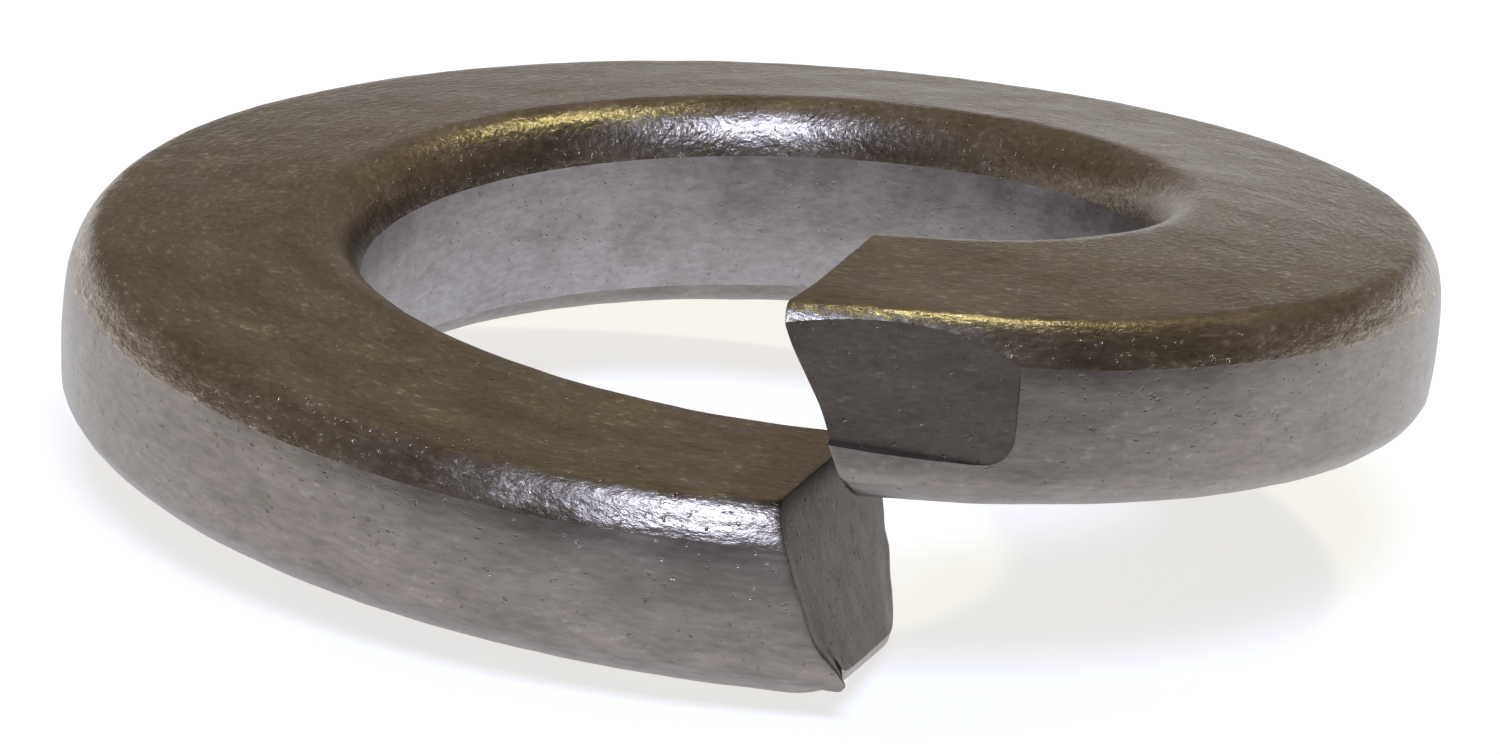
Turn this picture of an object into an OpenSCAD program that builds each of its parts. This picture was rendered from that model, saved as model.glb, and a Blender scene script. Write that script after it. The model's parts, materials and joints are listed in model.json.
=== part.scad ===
// Spring lock washer, M8, left-hand coil for right-hand threads.
// One bar of keystone section is coiled one turn about +Z and sheared off,
// so that its two ends stand one above the other at -Y.
// The faces of the coil are swept; its bore and outer wall are true cylinders.

/* [Ring] */
// Diameter of the bore
bore_d = 8.1; // [6.1:0.1:12.2]
// Width of the section, from the bore to the outer wall
section_w = 3.05; // [2.4:0.05:4]
// Thickness of the section, midway between the bore and the outer wall
section_t = 2.1; // [1.8:0.05:2.6]
// How much thicker coiling leaves the section at the bore than at the outer wall
keystone = 0.48; // [0:0.02:0.6]
// Height that the coil climbs in a full turn
rise = 2.06; // [1.9:0.02:3]
// Way that the coil winds: left suits right-hand threads
hand = "left"; // [left, right]

/* [Edge rounds] */
// Width of the upper round at the outer wall
outer_top_w = 0.32; // [0.15:0.01:0.6]
// Height of the upper round at the outer wall
outer_top_h = 0.4; // [0.15:0.01:0.5]
// Width of the lower round at the outer wall
outer_bottom_w = 0.5; // [0.15:0.01:0.6]
// Height of the lower round at the outer wall
outer_bottom_h = 0.3; // [0.15:0.01:0.4]
// Width of the upper round at the bore
bore_top_w = 0.3; // [0.15:0.01:0.6]
// Height of the upper round at the bore
bore_top_h = 0.38; // [0.15:0.01:0.5]
// Width of the lower round at the bore
bore_bottom_w = 0.5; // [0.15:0.01:0.6]
// Height of the lower round at the bore
bore_bottom_h = 0.3; // [0.15:0.01:0.5]
// Angle of the crease where a round meets its wall
crease = 20; // [12:1:30]

/* [Sheared ends] */
// How far the two ends reach past one another, along the outer wall
end_pass = 0.06; // [-0.3:0.02:0.1]
// How far the cut runs ahead at the outer wall, compared with the bore
cut_lead = 1.5; // [0:0.05:2]
// Lean of the cut at the outer wall, from upright
outer_lean = 23; // [10:1:30]
// Lean of the cut at the bore, from upright
bore_lean = 13; // [6:1:30]
// Length of the low end over which the shear drags its lower face up
drag_l = 0.5; // [0.2:0.05:1]
// Height by which the shear drags up the lower face of the low end
drag_h = 0.28; // [0.02:0.02:0.3]
// Width of the spur that the shear leaves standing at the outer wall
spur_w = 0.25; // [0.1:0.05:0.5]

/* [Press mark] */
// Length of the flat pressed into the outer wall of the high end, from the split
mark_l = 1.24; // [0.8:0.02:1.3]
// Depth of the flat at the split
mark_depth = 0.13; // [0.06:0.01:0.2]
// Height of the flat's ledge below the middle of the high end
mark_drop = 0.37; // [0.1:0.01:0.5]
// Radius of the flat's lower corner
mark_r = 0.3; // [0.1:0.05:0.5]
// Angle at which the ledge falls along the ring
mark_fall = 7; // [0:1:12]

/* [Hidden] */

steel = "#8d8582";

turn = 360;
// Direction of the split, seen from above
gap_at = -90;

bore_r = bore_d / 2;
outer_r = bore_r + section_w;
mid_r = (bore_r + outer_r) / 2;
pass_deg = turn * end_pass / (2 * PI * outer_r);

// How far the swept coil stands proud of each wall before it is cut true
overhang = 0.05;
// Steps of an edge round, of the flat between two rounds, of the turn, of the drag
round_steps = 5;
flat_steps = 3;
turn_steps = 72;
drag_steps = 4;
// Smoothness of the true walls
wall_fn = 128;

// Height of the upper or lower face (side 1 or -1) at radius r
function face_z(r, side) = side / 2 * (section_t - keystone * (r - mid_r) / section_w);

// An edge round turns from level, at its face, to the crease, at its wall.
// Its points are [distance in from the wall, distance in from the face].
function round_point(w, h, a) =
    [w * (1 - sin(a) / cos(crease)), h * (1 - cos(a)) / (1 - sin(crease))];
// The wall's own point gives way to one beyond it, on the same straight line
function edge_round(w, h) =
    let (
        arc = [for (i = [round_steps : -1 : 0]) round_point(w, h, (90 - crease) * i / round_steps)],
        beyond = arc[0] + (arc[0] - arc[1]) * overhang / arc[1][0]
    )
    [for (i = [0 : round_steps]) i == 0 ? beyond : arc[i]];

// One side of the section, as [r, z] points from the outer wall to the bore
function side_points(side, outer_w, outer_h, inner_w, inner_h) =
    let (
        outer = [for (p = edge_round(outer_w, outer_h)) [outer_r - p[0], p[1]]],
        inner = [for (p = edge_round(inner_w, inner_h)) [bore_r + p[0], p[1]]],
        flat_from = outer_r - outer_w,
        flat_w = section_w - outer_w - inner_w,
        flat = [for (i = [1 : flat_steps - 1]) [flat_from - flat_w * i / flat_steps, 0]],
        back = [for (i = [len(inner) - 1 : -1 : 0]) inner[i]]
    )
    [for (p = concat(outer, flat, back)) [p[0], face_z(p[0], side) - side * p[1]]];

top_side = side_points(1, outer_top_w, outer_top_h, bore_top_w, bore_top_h);
bottom_side = side_points(-1, outer_bottom_w, outer_bottom_h, bore_bottom_w, bore_bottom_h);
side_n = len(top_side);
ring_n = 2 * side_n;

// Angle by which the slant of the cut carries point p of the section round the ring
function cut_deg(p) =
    let (
        out = (p[0] - mid_r) / section_w,
        lean = tan(bore_lean) + (tan(outer_lean) - tan(bore_lean)) * (out + 0.5)
    )
    -turn * (cut_lead * out + lean * p[1]) / (2 * PI * p[0]);

// Stations along the coil, from 0 at the high end to 1 at the low end
drag_share = drag_l / (2 * PI * mid_r);
stations = concat(
    [for (i = [0 : turn_steps - 1]) (1 - drag_share) * i / turn_steps],
    [for (i = [0 : drag_steps]) 1 - drag_share * (1 - i / drag_steps)]
);
last = len(stations) - 1;

// Lift of point p of the lower face at station u: none at the spur, full from twice its width
function drag(p, u) =
    let (
        near_end = max(0, 1 - (1 - u) / drag_share),
        off_spur = min(1, max(0, (outer_r - p[0]) / spur_w - 1))
    )
    drag_h * off_spur * (1 - sqrt(1 - near_end * near_end));

// Point p of the section, carried to station u of the coil and lifted by up
function coil_point(p, u, up) =
    let (a = gap_at - pass_deg / 2 + (turn + pass_deg) * u + cut_deg(p))
    [p[0] * cos(a), p[0] * sin(a), p[1] + up + rise * (0.5 - (a - gap_at) / turn)];

// Points of the coil, station by station: the upper side, then back along the lower
coil_points = [
    for (u = stations, i = [0 : ring_n - 1])
        let (p = i < side_n ? top_side[i] : bottom_side[ring_n - 1 - i])
            coil_point(p, u, i < side_n ? 0 : drag(p, u))
];
seat_z = min([for (p = coil_points) p[2]]);

// The bar as coiled and sheared, still proud of the bore and of the outer wall
module coil() {
    skin = [
        for (s = [0 : last - 1], i = [0 : ring_n - 1])
            let (a = s * ring_n + i, b = s * ring_n + (i + 1) % ring_n)
            each [[a, b, b + ring_n], [a, b + ring_n, a + ring_n]]
    ];
    // Each cut face is a ladder of rungs from the upper to the lower side
    high_end = [
        for (i = [0 : side_n - 2])
            let (below = ring_n - 1 - i)
            each [[i, below - 1, i + 1], [i, below, below - 1]]
    ];
    low_end = [for (f = high_end) [for (k = [2, 1, 0]) f[k] + last * ring_n]];
    polyhedron(coil_points, concat(skin, high_end, low_end));
}

// True bore and outer wall, taller than the coil
module walls() {
    wall_h = 2 * (rise + section_t);
    difference() {
        cylinder(r = outer_r, h = wall_h, center = true, $fn = wall_fn);
        cylinder(r = bore_r, h = 2 * wall_h, center = true, $fn = wall_fn);
    }
}

// Flat of the tool, from its ledge up past the high end, with one rounded corner
module mark_outline() {
    corner_x = mark_l - mark_r;
    corner_z = mark_r / cos(mark_fall) - corner_x * tan(mark_fall);
    far_x = -2 * mark_l;
    polygon([
        [far_x, -far_x * tan(mark_fall)],
        [corner_x - mark_r * sin(mark_fall), corner_z - mark_r * cos(mark_fall)],
        [corner_x, corner_z],
        [mark_l, corner_z],
        [mark_l, section_t],
        [far_x, section_t]
    ]);
    translate([corner_x, corner_z])
        circle(mark_r, $fn = wall_fn);
}

// Space of the tool that pressed the flat
module press_mark() {
    translate([0, mark_depth - outer_r, rise / 2 - mark_drop])
        rotate([90, 0, 0])
            linear_extrude(mark_depth + overhang)
                mark_outline();
}

// The finished washer, with its lowest point at z = 0
module washer() {
    color(steel)
        mirror([hand == "right" ? 1 : 0, 0, 0])
            translate([0, 0, -seat_z])
                difference() {
                    intersection() {
                        coil();
                        walls();
                    }
                    press_mark();
                }
}

washer();
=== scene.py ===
"""Spring lock washer: its looks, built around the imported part.

One bar of coiled stainless steel is modelled in millimetres as it is made: its section
is shaped, coiled, sheared, worn and pressed, then set in the part's frame, in metres.
"""

import json
import logging
import math
from dataclasses import dataclass
from enum import Enum
from typing import Callable

import bmesh
import bpy
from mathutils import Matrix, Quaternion, Vector

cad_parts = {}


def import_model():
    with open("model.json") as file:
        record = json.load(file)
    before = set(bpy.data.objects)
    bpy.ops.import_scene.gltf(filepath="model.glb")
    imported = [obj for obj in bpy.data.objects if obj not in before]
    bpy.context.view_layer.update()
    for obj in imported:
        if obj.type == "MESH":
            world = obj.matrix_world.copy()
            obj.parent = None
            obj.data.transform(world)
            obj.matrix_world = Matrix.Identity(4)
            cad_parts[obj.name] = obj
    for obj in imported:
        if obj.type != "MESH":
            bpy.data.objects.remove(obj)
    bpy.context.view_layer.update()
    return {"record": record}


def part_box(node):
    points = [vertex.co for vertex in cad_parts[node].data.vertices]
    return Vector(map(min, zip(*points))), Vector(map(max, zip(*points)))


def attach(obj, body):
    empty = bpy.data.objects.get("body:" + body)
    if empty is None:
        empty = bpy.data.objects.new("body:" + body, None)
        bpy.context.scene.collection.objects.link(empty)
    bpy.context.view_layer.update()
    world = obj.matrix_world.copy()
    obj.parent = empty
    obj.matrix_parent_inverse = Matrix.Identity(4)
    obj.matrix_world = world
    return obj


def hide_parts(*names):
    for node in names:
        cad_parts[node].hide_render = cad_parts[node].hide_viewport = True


LOG = logging.getLogger("washer")
MM = 0.001
TURN = 2 * math.pi
COIL_COORDINATES = "coil_mm"
# How near, in millimetres, a point is to the place that it is picked by
NEAR = 0.01
# How far, in millimetres, a limit reaches past the points that lie on it
MARGIN = 0.005


class Wall(Enum):
    """A wall of the section, by the way that it faces."""

    OUTER = 1
    BORE = -1


class Face(Enum):
    """A broad face of the section, by the way that it faces."""

    TOP = 1
    BOTTOM = -1


class Finish(Enum):
    """Material slots of the washer, in their order."""

    ROLLED = 0
    DRAWN = 1
    BURNISHED = 2
    SHEARED = 3
    PRESSED = 4


def linear(hex_colour: str) -> tuple[float, float, float, float]:
    """Turn an sRGB hex colour into linear RGBA.

    Args:
        hex_colour: Colour such as "#8a8280".

    Returns:
        The four linear values, with an alpha of 1.
    """
    parts = [int(hex_colour[i : i + 2], 16) / 255 for i in (1, 3, 5)]
    rgb = [c / 12.92 if c <= 0.04045 else ((c + 0.055) / 1.055) ** 2.4 for c in parts]
    return (rgb[0], rgb[1], rgb[2], 1.0)


def add_node(
    tree: bpy.types.NodeTree,
    kind: str,
    settings: dict[str, object] | None = None,
    inputs: dict[str | int, object] | None = None,
) -> bpy.types.Node:
    """Add one node with its settings, values and links.

    Args:
        tree: Tree that gets the node.
        kind: Node type, such as "ShaderNodeMix".
        settings: Node properties to set.
        inputs: Input name or number, with a value or the output socket that feeds it.

    Returns:
        The new node.
    """
    node = tree.nodes.new(kind)
    for name, value in (settings or {}).items():
        setattr(node, name, value)
    for name, value in (inputs or {}).items():
        if isinstance(value, bpy.types.NodeSocket):
            tree.links.new(value, node.inputs[name])
        else:
            node.inputs[name].default_value = value
    return node


def select_in_edit(
    piece: bpy.types.Object, kind: str, test: Callable[[object], bool]
) -> None:
    """Select only the elements of the mesh in edit mode that pass a test.

    Args:
        piece: Object in edit mode.
        kind: "VERT", "EDGE" or "FACE".
        test: Says whether a vertex, edge or face is selected.
    """
    bpy.ops.mesh.select_mode(type=kind)
    bpy.ops.mesh.select_all(action="DESELECT")
    mesh = bmesh.from_edit_mesh(piece.data)
    elements = {"VERT": mesh.verts, "EDGE": mesh.edges, "FACE": mesh.faces}[kind]
    for element in [element for element in elements if test(element)]:
        element.select_set(True)
    mesh.select_flush_mode()
    bmesh.update_edit_mesh(piece.data)


@dataclass(frozen=True)
class EdgeRound:
    """One rounded edge of the section, which meets its wall in a crease.

    A profile of 0.5 is a round, and a lower one is flatter in its middle. The crease is
    the angle that the round still has to turn where it meets the wall.
    """

    wall: Wall
    face: Face
    width: float
    height: float
    profile: float = 0.5
    crease: float = math.radians(20)

    def full(self) -> tuple[float, float]:
        """Give the whole round, which the wall cuts short.

        Returns:
            Its half axis across the section, and the one upwards.
        """
        power = -2 * math.log(math.sqrt(self.profile)) / math.log(2)
        across = self.width / math.cos(self.crease) ** power
        return across, self.height / (1 - math.sin(self.crease) ** power)


@dataclass(frozen=True)
class Barrel:
    """How far the creases are drawn in from a wall, which coiling leaves barrelled.

    The dark upper finish covers what is drawn in by more than its limit, scaled_from.
    The upper inset grows at first as the square of the height, and then more steeply:
    early and late are the shares of it that do so.
    """

    top: float
    bottom: float
    scaled_from: float
    early: float = 0.3
    late: float = 0.7

    def inset(self, along: float) -> float:
        """Give the inset at one height.

        Args:
            along: The height, from -1 at the lower crease to 1 at the upper.

        Returns:
            The inset, in millimetres.
        """
        share = min(1.0, along * along)
        if along > 0:
            return self.top * share * (self.early + self.late * share)
        return self.bottom * share


@dataclass
class Section:
    """Keystone section of the bar, drawn in the XZ plane with its middle at z = 0."""

    bore_r: float
    outer_r: float
    thickness: float = 2.1
    # How much thicker coiling leaves the section at the bore than at the outer wall
    keystone: float = 0.48
    # Steps of the arc of a round, of a broad side and of a wall
    arc_steps: int = 9
    face_steps: int = 22
    wall_steps: int = 12
    # How near a wall a point counts as on it, when the section is trimmed
    trim_gap: float = 0.003
    outer_barrel: Barrel = Barrel(0.075, 0.035, scaled_from=0.045)
    bore_barrel: Barrel = Barrel(0.012, 0.045, scaled_from=0.017)
    rounds: tuple[EdgeRound, ...] = (
        EdgeRound(Wall.OUTER, Face.TOP, 0.27, 0.29, profile=0.43, crease=math.radians(32)),
        EdgeRound(Wall.OUTER, Face.BOTTOM, 0.50, 0.30),
        EdgeRound(Wall.BORE, Face.TOP, 0.52, 0.62, crease=math.radians(10)),
        EdgeRound(Wall.BORE, Face.BOTTOM, 0.50, 0.30),
    )

    @property
    def width(self) -> float:
        """Width of the section across its walls."""
        return self.outer_r - self.bore_r

    @property
    def mid_r(self) -> float:
        """Radius midway between the walls."""
        return (self.outer_r + self.bore_r) / 2

    def wall_r(self, wall: Wall) -> float:
        """Give the radius of a wall."""
        return self.outer_r if wall is Wall.OUTER else self.bore_r

    def wall_near(self, r: float) -> Wall:
        """Give the wall that is nearer to radius r."""
        return Wall.OUTER if r > self.mid_r else Wall.BORE

    def barrel(self, wall: Wall) -> Barrel:
        """Give the barrelled form of a wall."""
        return self.outer_barrel if wall is Wall.OUTER else self.bore_barrel

    def round_at(self, wall: Wall, face: Face) -> EdgeRound:
        """Give the round between a wall and a broad face."""
        return next(e for e in self.rounds if (e.wall, e.face) == (wall, face))

    def face_z(self, r: float, face: Face) -> float:
        """Give the height of a broad face at radius r."""
        return face.value / 2 * (self.thickness - self.keystone * (r - self.mid_r) / self.width)

    def crease_z(self, wall: Wall, face: Face) -> float:
        """Give the height of the crease between a wall and the round towards a face."""
        height = self.round_at(wall, face).height
        return self.face_z(self.wall_r(wall), face) - face.value * height

    def draw(self) -> bpy.types.Object:
        """Shape a plane into the section's outline.

        Returns:
            An object whose mesh is the closed outline, without a face.
        """
        bpy.ops.object.select_all(action="DESELECT")
        bpy.ops.mesh.primitive_plane_add(size=2, rotation=(math.pi / 2, 0, 0))
        piece = bpy.context.object
        bpy.ops.object.transform_apply(location=False, rotation=True, scale=False)
        bpy.ops.object.mode_set(mode="EDIT")
        self._place_corners(piece)
        for edge_round in self.rounds:
            self._round_corner(piece, edge_round)
        self._trim_walls()
        bpy.ops.mesh.select_all(action="SELECT")
        bpy.ops.mesh.delete(type="ONLY_FACE")
        self._divide(piece)
        bpy.ops.object.mode_set(mode="OBJECT")
        self._crown_walls(piece)
        return piece

    def _corner(self, edge_round: EdgeRound) -> Vector:
        """Give the corner that a round is cut from, a little past its wall.

        Args:
            edge_round: The round.

        Returns:
            The corner's place.
        """
        past = edge_round.full()[0] - edge_round.width
        r = self.wall_r(edge_round.wall) + edge_round.wall.value * past
        return Vector((r, 0, self.face_z(r, edge_round.face)))

    def _place_corners(self, piece: bpy.types.Object) -> None:
        """Move the plane's four corners to the section's.

        Args:
            piece: The plane, in edit mode.
        """
        for edge_round in self.rounds:
            start = Vector((edge_round.wall.value, 0, edge_round.face.value))
            select_in_edit(piece, "VERT", lambda v: (v.co - start).length < NEAR)
            bpy.ops.transform.translate(value=self._corner(edge_round) - start)

    def _round_corner(self, piece: bpy.types.Object, edge_round: EdgeRound) -> None:
        """Bevel one corner to a quarter ellipse: round, in a frame stretched upwards.

        Args:
            piece: The section, in edit mode.
            edge_round: The round that the corner gets.
        """
        across, up = edge_round.full()
        corner = self._corner(edge_round)
        stretch = across / up
        bpy.ops.mesh.select_all(action="SELECT")
        bpy.ops.transform.resize(value=(1, 1, stretch), center_override=(0, 0, 0))
        corner.z *= stretch
        select_in_edit(piece, "VERT", lambda v: (v.co - corner).length < NEAR)
        bpy.ops.mesh.bevel(
            offset_type="ABSOLUTE",
            offset=across,
            segments=self.arc_steps,
            profile=edge_round.profile,
            affect="VERTICES",
            clamp_overlap=False,
        )
        bpy.ops.mesh.select_all(action="SELECT")
        bpy.ops.transform.resize(value=(1, 1, 1 / stretch), center_override=(0, 0, 0))

    def _trim_walls(self) -> None:
        """Cut the section to its true walls, which leaves the creases."""
        for wall in Wall:
            bpy.ops.mesh.select_all(action="SELECT")
            bpy.ops.mesh.bisect(
                plane_co=(self.wall_r(wall), 0, 0),
                plane_no=(wall.value, 0, 0),
                clear_outer=True,
                threshold=self.trim_gap,
            )

    def _divide(self, piece: bpy.types.Object) -> None:
        """Divide the four long sides, so that they can follow the coil.

        The upper side ends with as many points as the lower one, as the grid of a cut end
        needs, whatever the trimming of the rounds has left of their arcs.

        Args:
            piece: The outline, in edit mode.
        """
        points = bmesh.from_edit_mesh(piece.data).verts
        fewer_above = sum(1 if v.co.z < 0 else -1 for v in points)
        long = self.thickness / 4
        for side, cuts in (
            (0, self.wall_steps - 1),
            (Face.BOTTOM.value, self.face_steps - 1),
            (Face.TOP.value, self.face_steps - 1 + fewer_above),
        ):
            select_in_edit(
                piece, "EDGE", lambda e: e.calc_length() > long and self._side(e) == side
            )
            bpy.ops.mesh.subdivide(number_cuts=cuts)

    @staticmethod
    def _side(edge: bmesh.types.BMEdge) -> float:
        """Tell which side of the outline an edge is on.

        Args:
            edge: An edge of the outline.

        Returns:
            0 along a wall, 1 along the upper side, or -1 along the lower.
        """
        start, end = (vertex.co for vertex in edge.verts)
        return 0 if abs(start.x - end.x) < NEAR else math.copysign(1, start.z)

    def _crown_walls(self, piece: bpy.types.Object) -> None:
        """Draw the creases in from the walls, which leaves each wall barrelled.

        Args:
            piece: The outline.
        """
        for vertex in piece.data.vertices:
            out = 2 * (vertex.co.x - self.mid_r) / self.width
            wall = self.wall_near(vertex.co.x)
            low, high = self.crease_z(wall, Face.BOTTOM), self.crease_z(wall, Face.TOP)
            along = (2 * vertex.co.z - low - high) / (high - low)
            vertex.co.x -= out * self.barrel(wall).inset(along)


@dataclass(frozen=True)
class Pull:
    """A place where the shear or the tool drew the metal out.

    The point nearest to the place moves by the given way, and the metal that is joined
    to it within reach follows, less and less with distance.
    """

    at: tuple[float, float, float]
    by: tuple[float, float, float]
    reach: float


@dataclass
class Washer:
    """The whole washer: one bar, coiled, sheared, worn and pressed."""

    section: Section
    # Height that the coil climbs in a full turn
    rise: float = 2.06
    # How far the two ends reach past one another, along the outer wall
    end_pass: float = 0.06
    # How far the cut runs ahead at the outer wall, compared with the bore
    cut_lead: float = 1.5
    # Lean of the cut from upright, at each wall
    outer_lean: float = math.radians(23)
    bore_lean: float = math.radians(13)
    steps: int = 640
    # The shear drags up the lower face of the low end, but for a spur at the outer wall,
    # and in full from this share of the thickness below the middle
    drag_l: float = 0.5
    drag_h: float = 0.28
    spur_w: float = 0.13
    drag_below: float = 0.25
    # Flat pressed into the high end: its ledge falls along the ring, and its face leans
    # in towards the split and towards its top
    mark_l: float = 1.24
    mark_depth: float = 0.14
    mark_drop: float = 0.37
    mark_r: float = 0.3
    mark_steps: int = 8
    mark_fall: float = math.radians(7)
    mark_yaw: float = 0.03
    mark_pitch: float = 0.03
    # Way that the tool goes on outwards, which gives the ledge a slope
    tool_way: tuple[float, float, float] = (0, -1, -0.2)
    # How squarely a face of the tool looks along Y to be its flat
    flat_share: float = 0.9
    # Sharpness that is taken off the edges of the cuts
    wear: float = 0.02
    wear_steps: int = 2
    # Length and height of the coiled bar's unevenness
    uneven_l: float = 0.7
    uneven_h: float = 0.02
    smooth_angle: float = math.radians(30)
    # Angle from the split within which a point may be on either arm
    near_split: float = TURN / 10
    pulls: tuple[Pull, ...] = (
        # Tip of the spur, under the low end
        Pull(at=(-0.4, -7.0, -1.64), by=(0.2, 0.0, -0.06), reach=0.36),
        # Lower edge of the low end's cut, at the bore
        Pull(at=(0.89, -4.09, -1.6), by=(-0.075, 0.0, 0.0), reach=0.9),
        # Upper edge of the high end's cut, at the outer wall
        Pull(at=(-1.05, -6.95, 1.75), by=(-0.09, 0.0, 0.0), reach=0.9),
        # Upper face of the low end, at the outer wall
        Pull(at=(-1.3, -6.85, -0.1), by=(0.0, 0.0, 0.07), reach=2.4),
        # Upper face of the high end, over the pressed flat
        Pull(at=(0.2, -6.95, 1.75), by=(0.0, 0.0, 0.05), reach=2.2),
    )

    def build(self, seat: float) -> bpy.types.Object:
        """Build and finish the washer.

        Args:
            seat: Height of the washer's lowest point in the frame, in metres.

        Returns:
            The washer's object, in the part's frame.
        """
        piece = self.section.draw()
        piece.name = piece.data.name = "washer_looks"
        outline = [vertex.co.copy() for vertex in piece.data.vertices]
        self._slant(piece)
        self._coil(piece)
        self._drag_low_end(piece, len(outline))
        self._close_ends(piece, outline)
        self._mark_finishes(piece, outline)
        self._make_uneven(piece)
        self._break_end_edges(piece)
        for pull in self.pulls:
            self._draw_out(piece, pull)
        self._press(piece)
        self._sharpen(piece)
        self._store_coil_coordinates(piece)
        self._set_in_frame(piece, seat)
        for finish in Finish:
            piece.data.materials.append(FINISHES[finish].material())
        return piece

    def _out(self, r: float) -> float:
        """Give the place of radius r, from -0.5 at the bore to 0.5 at the outer wall."""
        return (r - self.section.mid_r) / self.section.width

    def _lean(self, out: float) -> float:
        """Give the slope of the cut at a place across the section."""
        return math.tan(self.bore_lean) * (0.5 - out) + math.tan(self.outer_lean) * (0.5 + out)

    def _slant(self, piece: bpy.types.Object) -> None:
        """Carry each point of the outline round its own radius, onto the slanted cut.

        Args:
            piece: The flat outline of the section.
        """
        for vertex in piece.data.vertices:
            r, z = vertex.co.x, vertex.co.z
            out = self._out(r)
            angle = -(self.cut_lead * out + self._lean(out) * z) / r
            vertex.co = (
                r * math.cos(angle),
                r * math.sin(angle),
                z - self.rise * angle / TURN,
            )

    def _coil(self, piece: bpy.types.Object) -> None:
        """Sweep the outline until its ends pass one another, with the split at -Y.

        Args:
            piece: The slanted outline.
        """
        pass_angle = self.end_pass / self.section.outer_r
        share = 1 + pass_angle / TURN
        screw = piece.modifiers.new("coil", "SCREW")
        screw.axis = "Z"
        screw.angle = TURN * share
        screw.screw_offset = -self.rise * share
        screw.steps = screw.render_steps = self.steps
        bpy.ops.object.modifier_apply(modifier=screw.name)
        piece.location.z = self.rise * share / 2
        piece.rotation_euler.z = -(pass_angle + math.pi) / 2
        bpy.ops.object.transform_apply(location=True, rotation=True, scale=False)

    def _drag_low_end(self, piece: bpy.types.Object, outline_n: int) -> None:
        """Lift the lower face of the low end, as the shear dragged it, but for the spur.

        Args:
            piece: The open coil, whose points come outline by outline.
            outline_n: Number of points in an outline.
        """
        middle = -self.rise / 2
        reach = self.drag_l / (TURN * self.section.mid_r)
        for vertex in piece.data.vertices:
            share = 1 - (1 - (vertex.index // outline_n) / self.steps) / reach
            below = (middle - vertex.co.z) / self.section.thickness
            inside = self.section.outer_r - math.hypot(vertex.co.x, vertex.co.y)
            off_spur = min(1.0, max(0.0, inside / self.spur_w - 1))
            if share > 0 and below > 0:
                lift = self.drag_h * (1 - math.sqrt(max(0.0, 1 - share * share)))
                vertex.co.z += lift * off_spur * min(1.0, below / self.drag_below)

    def _close_ends(self, piece: bpy.types.Object, outline: list[Vector]) -> None:
        """Fill both cut faces with a grid, whose corners are at the creases.

        Args:
            piece: The open coil.
            outline: Points of the section that were swept.
        """
        outline_n = len(outline)
        last = outline_n * self.steps
        # Blender goes on from this corner up the outer wall, which is the grid's span
        crease_z = self.section.crease_z(Wall.OUTER, Face.BOTTOM)
        crease = Vector((self.section.outer_r, 0, crease_z))
        corner = min(range(outline_n), key=lambda i: (outline[i] - crease).length)
        bpy.ops.object.mode_set(mode="EDIT")
        for low, high in ((0, outline_n), (last, last + outline_n)):
            select_in_edit(
                piece,
                "EDGE",
                lambda e: e.is_boundary and all(low <= v.index < high for v in e.verts),
            )
            mesh = bmesh.from_edit_mesh(piece.data)
            mesh.verts.ensure_lookup_table()
            mesh.select_history.clear()
            mesh.select_history.add(mesh.verts[low + corner])
            bpy.ops.mesh.fill_grid(span=self.section.wall_steps, use_interp_simple=True)
        bpy.ops.mesh.select_all(action="SELECT")
        bpy.ops.mesh.normals_make_consistent(inside=False)
        bpy.ops.object.mode_set(mode="OBJECT")

    def _mark_finishes(self, piece: bpy.types.Object, outline: list[Vector]) -> None:
        """Give every face its finish's slot: mostly the work that made it, but on the bore
        painted light and shade.

        Args:
            piece: The closed coil. Its swept faces come before those of the cut ends.
            outline: Points of the section that were swept.
        """
        finishes = [self._finish_at(point) for point in outline]
        for face in piece.data.polygons:
            found = {finishes[i % len(outline)] for i in face.vertices}
            if face.index >= len(outline) * self.steps:
                slot = Finish.SHEARED
            else:
                slot = min(found, key=lambda finish: finish.value)
            face.material_index = slot.value

    def _finish_at(self, point: Vector) -> Finish:
        """Give the finish at a point of the section.

        Args:
            point: The point, in the section's plane.

        Returns:
            A bare finish on the walls and the lower rounds, or the scale elsewhere. The bore's
            lower round gets the darker drawn finish, which is painted shade.
        """
        wall = self.section.wall_near(point.x)
        barrel = self.section.barrel(wall)
        inset = abs(point.x - self.section.wall_r(wall))
        if inset < (barrel.scaled_from if point.z > 0 else barrel.bottom + MARGIN):
            # Painted light: the bore's wall gets the paler bore finish
            return Finish.DRAWN if wall is Wall.OUTER else Finish.BURNISHED
        # Painted shade: the bore's lower round takes the darker drawn finish
        round_w = self.section.round_at(wall, Face.BOTTOM).width
        return Finish.DRAWN if point.z < 0 and inset < round_w + MARGIN else Finish.ROLLED

    def _make_uneven(self, piece: bpy.types.Object) -> None:
        """Give the bar the slight unevenness of coiled metal.

        Args:
            piece: The closed coil.
        """
        clouds = bpy.data.textures.new("unevenness", "CLOUDS")
        clouds.noise_scale = self.uneven_l
        uneven = piece.modifiers.new("unevenness", "DISPLACE")
        uneven.texture = clouds
        uneven.texture_coords = "LOCAL"
        uneven.strength = self.uneven_h
        bpy.ops.object.modifier_apply(modifier=uneven.name)

    def _break_end_edges(self, piece: bpy.types.Object) -> None:
        """Take the sharpness off the edges of both cut faces.

        Args:
            piece: The closed coil, with its finishes marked.
        """
        bpy.ops.object.mode_set(mode="EDIT")
        select_in_edit(
            piece,
            "EDGE",
            lambda e: {Finish.SHEARED.value} < {f.material_index for f in e.link_faces},
        )
        bpy.ops.mesh.bevel(
            offset=self.wear, segments=self.wear_steps, affect="EDGES", clamp_overlap=False
        )
        bpy.ops.object.mode_set(mode="OBJECT")

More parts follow.
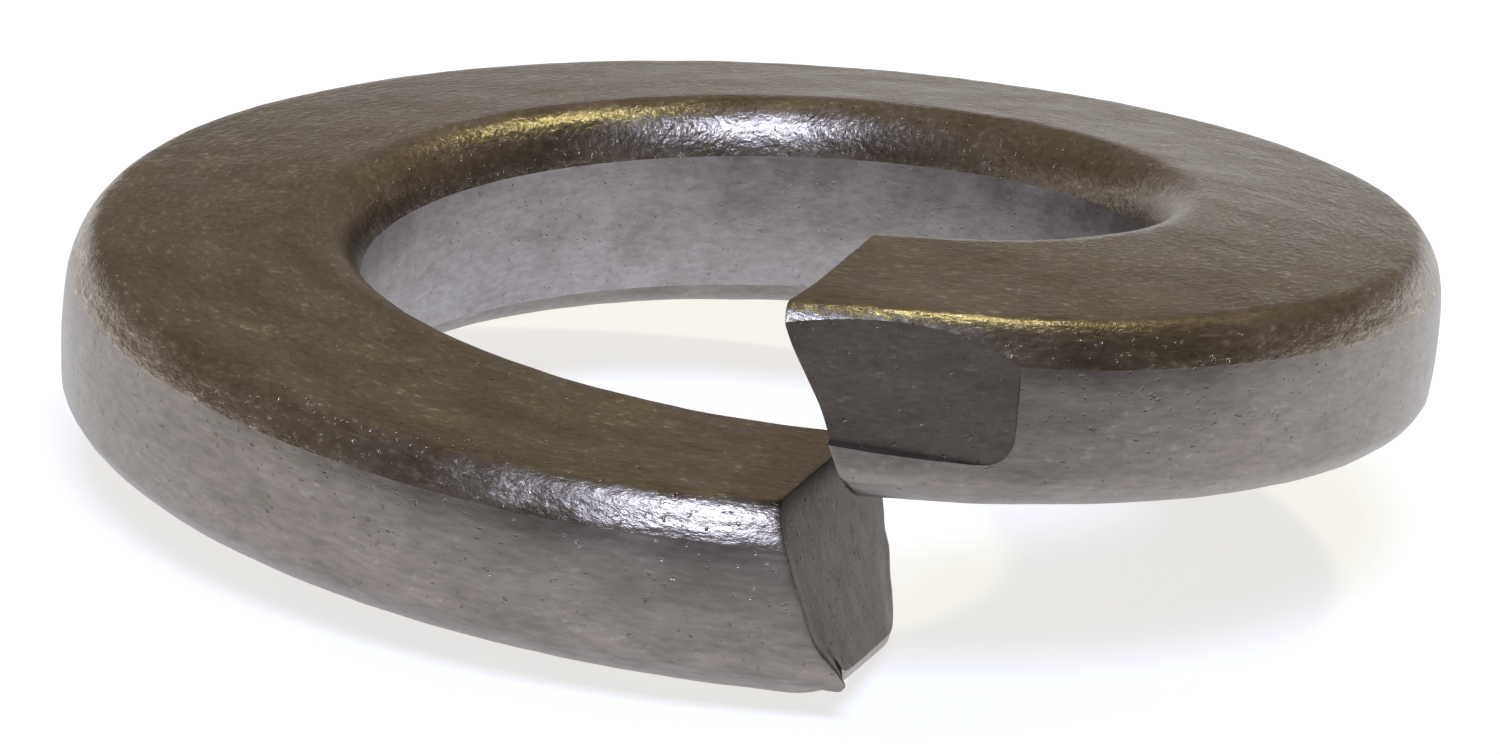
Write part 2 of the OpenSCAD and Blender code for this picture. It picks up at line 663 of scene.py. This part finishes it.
    def _draw_out(self, piece: bpy.types.Object, pull: Pull) -> None:
        """Draw the metal out round one place, less and less with distance.

        Args:
            piece: The closed coil.
            pull: Where, which way and how far round it.
        """
        root = Vector(pull.at)
        nearest = min(piece.data.vertices, key=lambda v: (v.co - root).length).index
        bpy.ops.object.mode_set(mode="EDIT")
        select_in_edit(piece, "VERT", lambda v: v.index == nearest)
        bpy.ops.transform.translate(
            value=pull.by,
            use_proportional_edit=True,
            proportional_edit_falloff="SMOOTH",
            proportional_size=pull.reach,
            use_proportional_connected=True,
        )
        bpy.ops.object.mode_set(mode="OBJECT")

    def _tool_y(self, x: float, z: float) -> float:
        """Give the place of the tool's face, which leans in towards the split and its top.

        Args:
            x: Place along the ring.
            z: Height from the middle of the coil.

        Returns:
            The place along Y.
        """
        below_top = self.rise / 2 + self.section.thickness / 4 - z
        depth = self.mark_depth + self.mark_yaw * (self.mark_l - x) - self.mark_pitch * below_top
        return depth - self.section.outer_r

    def _press_tool(self) -> bpy.types.Object:
        """Shape a plane into the tool that presses the flat: one corner is rounded.

        Returns:
            The tool, a closed solid that stands in the outer wall of the high end.
        """
        bpy.ops.object.select_all(action="DESELECT")
        bpy.ops.mesh.primitive_plane_add(size=2, rotation=(math.pi / 2, 0, 0))
        tool = bpy.context.object
        bpy.ops.object.transform_apply(location=False, rotation=True, scale=False)
        bpy.ops.object.mode_set(mode="EDIT")
        fall = math.tan(self.mark_fall)
        far = -2 * self.mark_l
        ledge_z = self.rise / 2 - self.mark_drop
        corner_z = ledge_z - self.mark_l * fall
        top_z = ledge_z + self.section.thickness
        ends = {
            (-1, -1): (far, ledge_z - far * fall),
            (1, -1): (self.mark_l, corner_z),
            (1, 1): (self.mark_l, top_z),
            (-1, 1): (far, top_z),
        }
        for (x, z), (to_x, to_z) in ends.items():
            start = Vector((x, 0, z))
            select_in_edit(tool, "VERT", lambda v: (v.co - start).length < NEAR)
            bpy.ops.transform.translate(value=(to_x - x, self._tool_y(to_x, to_z), to_z - z))
        corner = Vector((self.mark_l, self._tool_y(self.mark_l, corner_z), corner_z))
        select_in_edit(tool, "VERT", lambda v: (v.co - corner).length < NEAR)
        bpy.ops.mesh.bevel(
            offset_type="ABSOLUTE",
            offset=self.mark_r,
            segments=self.mark_steps,
            affect="VERTICES",
        )
        bpy.ops.mesh.select_all(action="SELECT")
        bpy.ops.mesh.extrude_region_move(TRANSFORM_OT_translate={"value": self.tool_way})
        bpy.ops.mesh.select_all(action="SELECT")
        bpy.ops.mesh.normals_make_consistent(inside=False)
        bpy.ops.object.mode_set(mode="OBJECT")
        for face in tool.data.polygons:
            is_flat = abs(face.normal.y) > self.flat_share
            face.material_index = (Finish.PRESSED if is_flat else Finish.DRAWN).value
        return tool

    def _press(self, piece: bpy.types.Object) -> None:
        """Press the flat into the outer wall of the high end.

        Args:
            piece: The closed coil.
        """
        tool = self._press_tool()
        bpy.ops.object.select_all(action="DESELECT")
        piece.select_set(True)
        bpy.context.view_layer.objects.active = piece
        cut = piece.modifiers.new("press", "BOOLEAN")
        cut.operation = "DIFFERENCE"
        cut.solver = "EXACT"
        cut.object = tool
        bpy.ops.object.modifier_apply(modifier=cut.name)
        bpy.data.objects.remove(tool)

    def _sharpen(self, piece: bpy.types.Object) -> None:
        """Keep each line crisp where two finishes meet, and smooth the rest.

        Args:
            piece: The washer, with all its finishes marked.
        """
        bpy.ops.object.mode_set(mode="EDIT")
        select_in_edit(
            piece, "EDGE", lambda e: len({f.material_index for f in e.link_faces}) > 1
        )
        bpy.ops.mesh.mark_sharp()
        bpy.ops.object.mode_set(mode="OBJECT")
        bpy.ops.object.shade_smooth_by_angle(angle=self.smooth_angle, keep_sharp_edges=True)

    def _arm(self, turned: float, r: float, z: float) -> int:
        """Tell which way round from the split a point near it belongs.

        Args:
            turned: Angle from the split, towards the high end.
            r: Radius of the point.
            z: Its height from the middle of the coil.

        Returns:
            1 on the high end's arm, or -1 on the low end's.
        """
        out = self._out(r)
        off = {}
        for arm in (1, -1):
            above = z - arm * self.rise / 2 + self.rise * turned / TURN
            past = arm * (turned * r + self.cut_lead * out + self._lean(out) * above)
            off[arm] = max(0.0, abs(above) / self.section.thickness - 0.5) + max(0.0, -past)
        return min(off, key=lambda arm: off[arm])

    def _store_coil_coordinates(self, piece: bpy.types.Object) -> None:
        """Store each point's way along the bar, radius and height, for the finishes.

        Args:
            piece: The washer, still in millimetres.
        """
        values: list[float] = []
        for vertex in piece.data.vertices:
            x, y, z = vertex.co
            r = math.hypot(x, y)
            turned = math.atan2(x, -y)
            arm = self._arm(turned, r, z) if abs(turned) < self.near_split else turned
            way = turned if arm > 0 else turned + TURN
            values += (way * self.section.mid_r, r, z - self.rise * (0.5 - way / TURN))
        stored = piece.data.attributes.new(COIL_COORDINATES, "FLOAT_VECTOR", "POINT")
        stored.data.foreach_set("vector", values)

    def _set_in_frame(self, piece: bpy.types.Object, seat: float) -> None:
        """Bring the millimetre model to metres, resting at the frame's lowest point.

        Args:
            piece: The washer, in millimetres.
            seat: Height of the frame's lowest point, in metres.
        """
        lowest = min(v.co.z for v in piece.data.vertices)
        piece.location.z = seat - lowest * MM
        piece.scale = (MM, MM, MM)
        bpy.ops.object.transform_apply(location=True, rotation=True, scale=True)


@dataclass(frozen=True)
class Pattern:
    """A noise in the surface of the metal, laid along the bar.

    The size is that of its coarsest grains, in millimetres. The stretch is how much
    longer they are each way: along the bar, outwards and upwards. The detail is how many
    times each grain is broken up into finer ones.
    """

    size: float
    stretch: tuple[float, float, float] = (1, 1, 1)
    detail: float = 1


@dataclass(frozen=True)
class SteelFinish:
    """Stainless spring steel, with one way of working its surface.

    The dark and light colours tell the eye how much scale the work left on the metal,
    and on the bore they are also painted light and shade.
    The grain runs as the metal was drawn or sheared, with pits and bright flecks in it.
    Lengths are in millimetres. A span gives two values of a noise, which lies mostly
    from 0.2 to 0.8: a pattern is absent at the first of them and full at the second.
    """

    name: str
    dark: str
    light: str
    rough: tuple[float, float]
    # True grain is a few hundredths of a millimetre, too fine to show: drawn coarser
    grain: Pattern
    grain_depth: float
    blotches: Pattern
    fleck: str
    fleck_share: float
    pit_depth: float
    pit_share: float
    # Height on the section of the crease that handling wears pale
    worn_z: float | None = None
    # Half width of the line that is worn there
    worn_w: float = 0.03
    # Grains of scale that are rubbed bright. True ones are finer: drawn coarser
    rubbings: Pattern = Pattern(0.07, (1.6, 1, 1), 2)
    # True scratches are about a hundredth wide, too fine to show: drawn coarser
    scratches: Pattern = Pattern(0.035, (14, 1, 1))
    pits: Pattern = Pattern(0.07)
    # How rough every noise is, from its coarsest grains to its finest
    noise_roughness: float = 0.6
    tone_span: tuple[float, float] = (0.36, 0.64)
    rough_span: tuple[float, float] = (0.35, 0.65)
    fleck_span: tuple[float, float] = (0.6, 0.72)
    # Where the blotches let flecks and the worn line through
    bare_span: tuple[float, float] = (0.42, 0.6)
    scratch_span: tuple[float, float] = (0.68, 0.76)
    pit_span: tuple[float, float] = (0.32, 0.25)
    # Share of the grain in the metal's tone, and brightness of a scratch in a fleck's
    grain_share: float = 0.45
    scratch_share: float = 0.45
    # Dark of the dirt that a pit holds
    pit: str = "#2b2622"

    def material(self) -> bpy.types.Material:
        """Build the material's nodes.

        Returns:
            The material.
        """
        made = bpy.data.materials.new(self.name)
        made.use_nodes = True
        tree = made.node_tree
        tree.nodes.clear()
        coil = add_node(tree, "ShaderNodeAttribute", {"attribute_name": COIL_COORDINATES})
        place = coil.outputs["Vector"]
        noises = self._noises(tree, place)
        parts = self._parts(tree, noises)
        if self.worn_z is not None:
            parts["bright"] = self._worn_line(tree, place, parts)
        rough = add_node(
            tree,
            "ShaderNodeMapRange",
            None,
            {
                "Value": noises["blotches"],
                "From Min": self.rough_span[0],
                "From Max": self.rough_span[1],
                "To Min": self.rough[0],
                "To Max": self.rough[1],
            },
        )
        grain_bump = add_node(
            tree,
            "ShaderNodeBump",
            None,
            {"Height": noises["grain"], "Distance": self.grain_depth * MM},
        )
        pit_bump = add_node(
            tree,
            "ShaderNodeBump",
            {"invert": True},
            {
                "Height": parts["pits"],
                "Distance": self.pit_depth * MM,
                "Normal": grain_bump.outputs["Normal"],
            },
        )
        surface = add_node(
            tree,
            "ShaderNodeBsdfPrincipled",
            None,
            {
                "Base Color": self._colour(tree, parts),
                "Metallic": 1.0,
                "Roughness": rough.outputs["Result"],
                "Normal": pit_bump.outputs["Normal"],
            },
        )
        add_node(tree, "ShaderNodeOutputMaterial", None, {"Surface": surface.outputs["BSDF"]})
        return made

    def _noises(
        self, tree: bpy.types.NodeTree, place: bpy.types.NodeSocket
    ) -> dict[str, bpy.types.NodeSocket]:
        """Lay every pattern along the bar.

        Args:
            tree: Tree that gets the nodes.
            place: Coordinates along the bar, in millimetres.

        Returns:
            The pattern's name, with the socket that gives its noise.
        """
        noises = {}
        for name, pattern in (
            ("grain", self.grain),
            ("blotches", self.blotches),
            ("rubbings", self.rubbings),
            ("scratches", self.scratches),
            ("pits", self.pits),
        ):
            scale = tuple(1 / s for s in pattern.stretch)
            laid = add_node(tree, "ShaderNodeMapping", None, {"Vector": place, "Scale": scale})
            noise = add_node(
                tree,
                "ShaderNodeTexNoise",
                None,
                {
                    "Vector": laid.outputs["Vector"],
                    "Scale": 1 / pattern.size,
                    "Detail": pattern.detail,
                    "Roughness": self.noise_roughness,
                },
            )
            noises[name] = noise.outputs["Fac"]
        return noises

    def _parts(
        self, tree: bpy.types.NodeTree, noises: dict[str, bpy.types.NodeSocket]
    ) -> dict[str, bpy.types.NodeSocket]:
        """Work out how much of each feature there is at a point.

        Args:
            tree: Tree that gets the nodes.
            noises: Noise of each pattern.

        Returns:
            The feature's name, with the socket that gives its share from 0 to 1.
        """
        shade = add_node(
            tree,
            "ShaderNodeMix",
            None,
            {"Factor": self.grain_share, "A": noises["blotches"], "B": noises["grain"]},
        )
        parts = {}
        for name, value, span in (
            ("tone", shade.outputs["Result"], self.tone_span),
            ("rubbed", noises["rubbings"], self.fleck_span),
            ("bare", noises["blotches"], self.bare_span),
            ("scratches", noises["scratches"], self.scratch_span),
            ("pits", noises["pits"], self.pit_span),
        ):
            part = add_node(
                tree,
                "ShaderNodeMapRange",
                None,
                {"Value": value, "From Min": span[0], "From Max": span[1]},
            )
            parts[name] = part.outputs["Result"]
        flecks = add_node(
            tree,
            "ShaderNodeMath",
            {"operation": "MULTIPLY"},
            {0: parts["rubbed"], 1: parts["bare"]},
        )
        bright = add_node(
            tree,
            "ShaderNodeMath",
            {"operation": "MULTIPLY_ADD", "use_clamp": True},
            {0: parts["scratches"], 1: self.scratch_share, 2: flecks.outputs["Value"]},
        )
        parts["bright"] = bright.outputs["Value"]
        return parts

    def _worn_line(
        self,
        tree: bpy.types.NodeTree,
        place: bpy.types.NodeSocket,
        parts: dict[str, bpy.types.NodeSocket],
    ) -> bpy.types.NodeSocket:
        """Add the pale, broken line that handling wears along the upper crease.

        Args:
            tree: Tree that gets the nodes.
            place: Coordinates along the bar, in millimetres.
            parts: Share of each feature so far.

        Returns:
            The socket that gives the bright marks with the line.
        """
        split = add_node(tree, "ShaderNodeSeparateXYZ", None, {"Vector": place})
        off = add_node(
            tree,
            "ShaderNodeMath",
            {"operation": "SUBTRACT"},
            {0: split.outputs["Z"], 1: self.worn_z},
        )
        away = add_node(
            tree, "ShaderNodeMath", {"operation": "ABSOLUTE"}, {0: off.outputs["Value"]}
        )
        line = add_node(
            tree,
            "ShaderNodeMapRange",
            None,
            {"Value": away.outputs["Value"], "From Min": self.worn_w, "From Max": 0.0},
        )
        worn = add_node(
            tree,
            "ShaderNodeMath",
            {"operation": "MULTIPLY"},
            {0: line.outputs["Result"], 1: parts["bare"]},
        )
        both = add_node(
            tree,
            "ShaderNodeMath",
            {"operation": "MAXIMUM"},
            {0: worn.outputs["Value"], 1: parts["bright"]},
        )
        return both.outputs["Value"]

    def _colour(
        self, tree: bpy.types.NodeTree, parts: dict[str, bpy.types.NodeSocket]
    ) -> bpy.types.NodeSocket:
        """Mix the metal's colour.

        Args:
            tree: Tree that gets the nodes.
            parts: Share of each feature.

        Returns:
            The socket that gives the base colour.
        """
        metal = add_node(
            tree,
            "ShaderNodeMix",
            {"data_type": "RGBA"},
            {"Factor": parts["tone"], "A": linear(self.dark), "B": linear(self.light)},
        )
        colour = metal.outputs["Result"]
        for part, share, hex_colour in (
            ("bright", self.fleck_share, self.fleck),
            ("pits", self.pit_share, self.pit),
        ):
            amount = add_node(
                tree, "ShaderNodeMath", {"operation": "MULTIPLY"}, {0: parts[part], 1: share}
            )
            mixed = add_node(
                tree,
                "ShaderNodeMix",
                {"data_type": "RGBA"},
                {"Factor": amount.outputs["Value"], "A": colour, "B": linear(hex_colour)},
            )
            colour = mixed.outputs["Result"]
        return colour


FINISHES = {
    # Brown scale of rolling, satin, with fine flecks where it is rubbed off
    Finish.ROLLED: SteelFinish(
        name="rolled_stainless_steel",
        dark="#7a6e5f",
        light="#a3978a",
        rough=(0.3, 0.38),
        grain=Pattern(0.07, (1.6, 1, 1), 3),
        grain_depth=0.012,
        blotches=Pattern(0.5, (2, 1, 1), 4),
        fleck="#e6ddcf",
        fleck_share=0.6,
        pit_depth=0.008,
        pit_share=0.35,
    ),
    # Bare metal of the outer wall and the lower rounds, drawn grey, with a cloudy tone;
    # on the bore's lower round its darker tone is painted shade
    Finish.DRAWN: SteelFinish(
        name="drawn_stainless_steel",
        dark="#79726b",
        light="#948c85",
        rough=(0.3, 0.38),
        grain=Pattern(0.06, (3, 1, 1), 3),
        grain_depth=0.0015,
        blotches=Pattern(0.35, (2, 1, 1), 4),
        fleck="#cfc8c4",
        fleck_share=0.2,
        pit_depth=0.004,
        pit_share=0.15,
        worn_z=0.53,
    ),
    # Bare metal of the bore, cooler than the outer wall's. Its paler tone is painted light,
    # for the bright floor that the bore reflects
    Finish.BURNISHED: SteelFinish(
        name="bore_stainless_steel_painted_light",
        dark="#8b8685",
        light="#a9a4a5",
        rough=(0.3, 0.38),
        grain=Pattern(0.06, (3, 1, 1), 3),
        grain_depth=0.0015,
        blotches=Pattern(0.4, (2, 1, 1), 4),
        fleck="#cfc8c4",
        fleck_share=0.15,
        pit_depth=0.003,
        pit_share=0.1,
    ),
    # Torn metal of the cut, its streaks running the way that the blade went
    Finish.SHEARED: SteelFinish(
        name="sheared_stainless_steel",
        dark="#4b4540",
        light="#645d57",
        rough=(0.42, 0.52),
        grain=Pattern(0.06, (1, 1, 5), 3),
        grain_depth=0.004,
        blotches=Pattern(0.3, (2, 1, 1), 4),
        fleck="#cfc6be",
        fleck_share=0.22,
        pit_depth=0.012,
        pit_share=0.6,
    ),
    # Flat left by the tool: dark, even and dull
    Finish.PRESSED: SteelFinish(
        name="pressed_stainless_steel",
        dark="#625a51",
        light="#796f65",
        rough=(0.42, 0.5),
        grain=Pattern(0.05, (2, 1, 1), 3),
        grain_depth=0.002,
        blotches=Pattern(0.3, (2, 1, 1), 4),
        fleck="#b9b0a5",
        fleck_share=0.25,
        pit_depth=0.006,
        pit_share=0.25,
    ),
}


@dataclass(frozen=True)
class Lamp:
    """One soft lamp, aimed at the washer.

    Its azimuth and elevation, seen from the washer, are in degrees, its size and its
    distance in metres and its power in watts.
    """

    name: str
    azimuth: float
    elevation: float
    size: float
    power: float
    colour: str
    away: float = 0.6


@dataclass
class Studio:
    """Pale floor, dim room, soft lamps and the camera.

    Angles are in degrees and distances in metres, unless a comment says otherwise. A
    span gives the first and last value of a direction over which the room changes, such
    as its upward part, which goes from 0 at the horizon to 1 overhead.
    """

    azimuth: float = -12
    elevation: float = 15.82
    distance: float = 0.0964
    # Focal length and sensor width, in millimetres
    lens: float = 223
    sensor: float = 36
    clip: tuple[float, float] = (0.005, 10)
    roll: float = 5.25
    # How far below the frame's middle the washer's middle lies
    aim_down: float = 0.00064
    floor_size: float = 3
    floor_tone: str = "#c9c9c9"
    floor_glow: float = 0.7
    # Place along Y, in millimetres, over which the floor brightens in gloss
    front_fade: tuple[float, float] = (-13.5, -7.5)
    front_share: float = 0.2
    horizon: str = "#f4f8ff"
    room: str = "#675f55"
    ceiling: str = "#726a5f"
    front: str = "#49443d"
    world_glow: float = 1.95
    horizon_span: tuple[float, float] = (0, 0.155)
    ceiling_span: tuple[float, float] = (0.36, 0.55)
    behind_span: tuple[float, float] = (-0.5, 0.5)
    lamps: tuple[Lamp, ...] = (
        Lamp("key", -15, 47, 0.22, 3.0, "#c4d4ff"),
        Lamp("gold", 108, 68, 0.06, 0.6, "#fdffbe"),
    )

    def floor(self, height: float) -> None:
        """Lay a matt white floor under the washer.

        Args:
            height: Height of the washer's lowest point, in metres.
        """
        bpy.ops.object.select_all(action="DESELECT")
        bpy.ops.mesh.primitive_plane_add(size=self.floor_size, location=(0, 0, height))
        floor = bpy.context.object
        floor.name = "floor"
        floor.data.materials.append(self._white_card())

    def _white_card(self) -> bpy.types.Material:
        """Build the floor's material, which is white to the camera and in gloss.

        In gloss it is dimmer in front, where the camera stands in its light.

        Returns:
            The material.
        """
        made = bpy.data.materials.new("white_card")
        made.use_nodes = True
        tree = made.node_tree
        tree.nodes.clear()
        card = add_node(
            tree, "ShaderNodeBsdfDiffuse", None, {"Color": linear(self.floor_tone)}
        )
        ray = add_node(tree, "ShaderNodeLightPath")
        place = add_node(tree, "ShaderNodeTexCoord")
        split = add_node(
            tree, "ShaderNodeSeparateXYZ", None, {"Vector": place.outputs["Object"]}
        )
        lit = add_node(
            tree,
            "ShaderNodeMapRange",
            {"interpolation_type": "SMOOTHSTEP"},
            {
                "Value": split.outputs["Y"],
                "From Min": self.front_fade[0] * MM,
                "From Max": self.front_fade[1] * MM,
                "To Min": self.front_share,
            },
        )
        in_gloss = add_node(
            tree,
            "ShaderNodeMath",
            {"operation": "MULTIPLY"},
            {0: ray.outputs["Is Glossy Ray"], 1: lit.outputs["Result"]},
        )
        seen = add_node(
            tree,
            "ShaderNodeMath",
            {"operation": "MAXIMUM"},
            {0: ray.outputs["Is Camera Ray"], 1: in_gloss.outputs["Value"]},
        )
        glow = add_node(
            tree,
            "ShaderNodeMath",
            {"operation": "MULTIPLY"},
            {0: seen.outputs["Value"], 1: self.floor_glow},
        )
        light = add_node(
            tree, "ShaderNodeEmission", None, {"Strength": glow.outputs["Value"]}
        )
        both = add_node(
            tree,
            "ShaderNodeAddShader",
            None,
            {0: card.outputs["BSDF"], 1: light.outputs["Emission"]},
        )
        add_node(tree, "ShaderNodeOutputMaterial", None, {"Surface": both.outputs["Shader"]})
        return made

    def light(self) -> None:
        """Set the room, pale low down behind the washer and dim in front, and the lamps."""
        world = bpy.data.worlds.new("dim_room")
        world.use_nodes = True
        tree = world.node_tree
        tree.nodes.clear()
        way = add_node(tree, "ShaderNodeTexCoord")
        split = add_node(
            tree, "ShaderNodeSeparateXYZ", None, {"Vector": way.outputs["Generated"]}
        )
        up, back = split.outputs["Z"], split.outputs["Y"]
        tone = linear(self.ceiling)
        # Each step lays one tone under or before the last, from the ceiling down
        for axis, span, below in (
            (up, self.ceiling_span, self.room),
            (up, self.horizon_span, self.horizon),
            (back, self.behind_span, self.front),
        ):
            share = add_node(
                tree,
                "ShaderNodeMapRange",
                {"interpolation_type": "SMOOTHSTEP"},
                {"Value": axis, "From Min": span[0], "From Max": span[1]},
            )
            mixed = add_node(
                tree,
                "ShaderNodeMix",
                {"data_type": "RGBA"},
                {"Factor": share.outputs["Result"], "A": linear(below), "B": tone},
            )
            tone = mixed.outputs["Result"]
        room = add_node(
            tree, "ShaderNodeBackground", None, {"Color": tone, "Strength": self.world_glow}
        )
        add_node(tree, "ShaderNodeOutputWorld", None, {"Surface": room.outputs["Background"]})
        bpy.context.scene.world = world
        for lamp in self.lamps:
            self._hang(lamp)

    def _hang(self, lamp: Lamp) -> None:
        """Hang one lamp, aimed at the washer.

        Args:
            lamp: The lamp.
        """
        data = bpy.data.lights.new(lamp.name, "AREA")
        data.size = lamp.size
        data.energy = lamp.power
        data.color = linear(lamp.colour)[:3]
        hung = bpy.data.objects.new(lamp.name, data)
        back = self._back(lamp.azimuth, lamp.elevation)
        hung.location = back * lamp.away
        hung.rotation_euler = back.to_track_quat("Z", "Y").to_euler()
        bpy.context.scene.collection.objects.link(hung)

    @staticmethod
    def _back(azimuth: float, elevation: float) -> Vector:
        """Give the direction from the washer to a place seen from it."""
        a, e = math.radians(azimuth), math.radians(elevation)
        return Vector((math.sin(a) * math.cos(e), -math.cos(a) * math.cos(e), math.sin(e)))

    def camera(self, middle: Vector) -> None:
        """Place the camera and make it the scene's.

        Args:
            middle: Middle of the washer, in metres.
        """
        data = bpy.data.cameras.new("camera")
        data.lens = self.lens
        data.sensor_width = self.sensor
        data.clip_start, data.clip_end = self.clip
        camera = bpy.data.objects.new("camera", data)
        back = self._back(self.azimuth, self.elevation)
        roll = Quaternion((0, 0, 1), math.radians(self.roll))
        camera.rotation_mode = "QUATERNION"
        camera.rotation_quaternion = back.to_track_quat("Z", "Y") @ roll
        aim = camera.rotation_quaternion @ Vector((0, self.aim_down, 0))
        camera.location = middle + back * self.distance - aim
        bpy.context.scene.collection.objects.link(camera)
        bpy.context.scene.camera = camera


def main() -> None:
    """Build the washer and its studio, and report each piece."""
    logging.basicConfig(level=logging.INFO, format="%(name)s: %(message)s")
    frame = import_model()
    low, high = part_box("washer")
    bore = frame["record"]["mounts"][0]["dims"]["r_mm"]
    section = Section(bore, (high.x - low.x) / 2 / MM)
    piece = Washer(section).build(low.z)
    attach(piece, "root")
    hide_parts("washer")
    LOG.info("%s: %d faces", piece.name, len(piece.data.polygons))
    studio = Studio()
    studio.floor(low.z)
    studio.light()
    studio.camera(Vector((0, 0, (low.z + high.z) / 2)))
    bpy.context.scene.view_settings.view_transform = "Standard"


if __name__ == "__main__":
    main()
